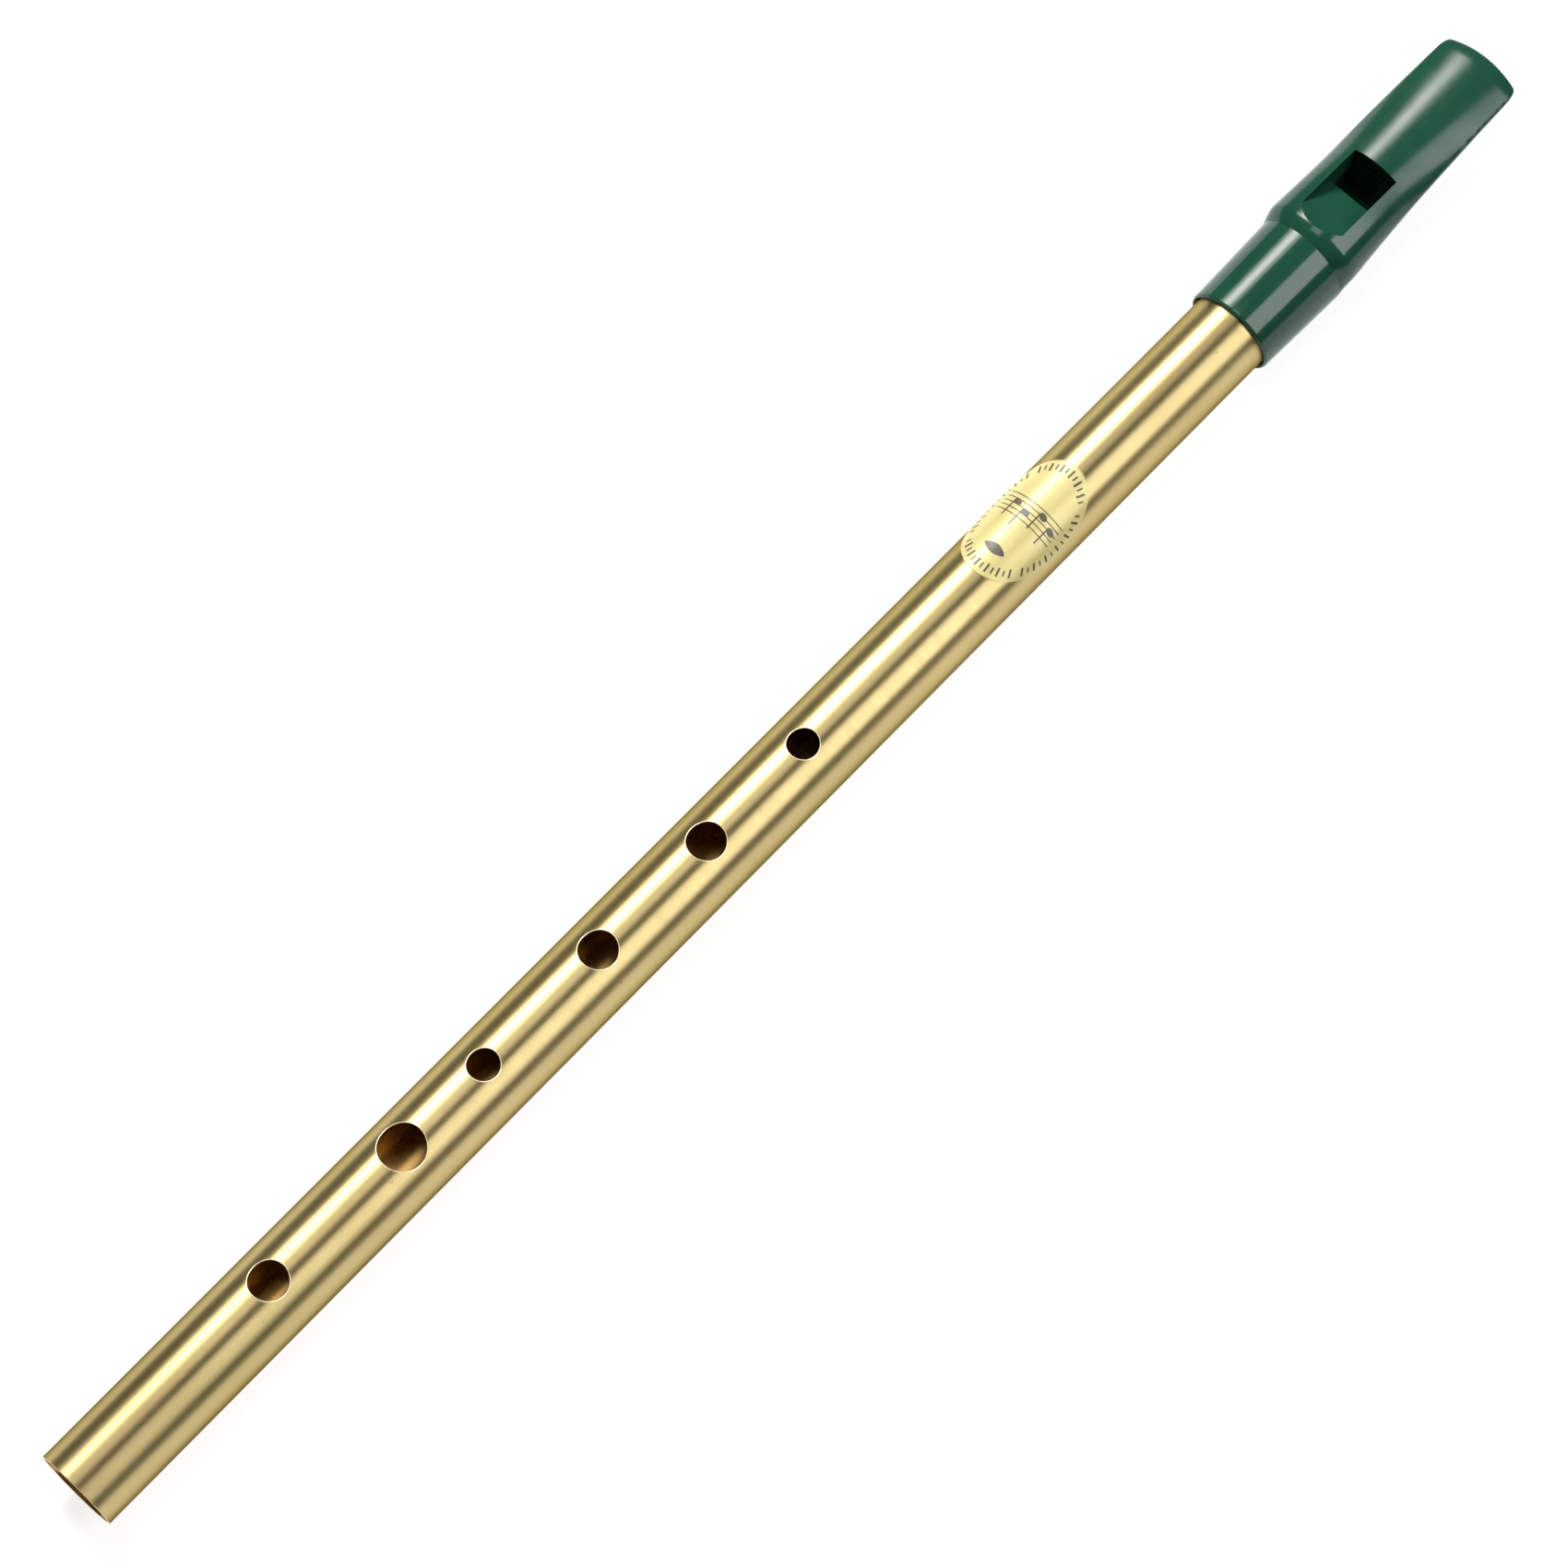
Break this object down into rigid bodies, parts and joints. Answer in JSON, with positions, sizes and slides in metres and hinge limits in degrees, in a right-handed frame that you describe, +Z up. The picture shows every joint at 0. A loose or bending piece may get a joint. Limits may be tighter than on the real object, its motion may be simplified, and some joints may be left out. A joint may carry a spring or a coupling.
{
  "type": "tin whistle",
  "caption": "Straight thin-walled brass tube with a row of round finger holes, pushed into a green moulded plastic mouthpiece with a blown window and a beak-shaped tip.",
  "frame": {"origin": "middle of the bounding box's underside, below the middle of the whistle's length", "axes": "+X along the tube from its open foot to the mouthpiece's tip, +Z up through the finger holes and the window"},
  "size_m": [0.301, 0.0166, 0.0166],
  "materials": {
    "tube": "satin drawn brass, unlacquered look",
    "head_shell": "glossy moulded dark green plastic",
    "fipple_block": "glossy moulded dark green plastic",
    "label": "thin semi-gloss pale yellow printed film"
  },
  "bodies": {
    "tube": {"tube": "tube", "label": "label"},
    "head": {"head_shell": "head_shell", "fipple_block": "fipple_block"}
  },
  "joints": [
    {"name": "head_slide", "type": "slide", "parent": "tube", "child": "head", "axis": [1, 0, 0], "range_m": [0, 0.022]}
  ]
}
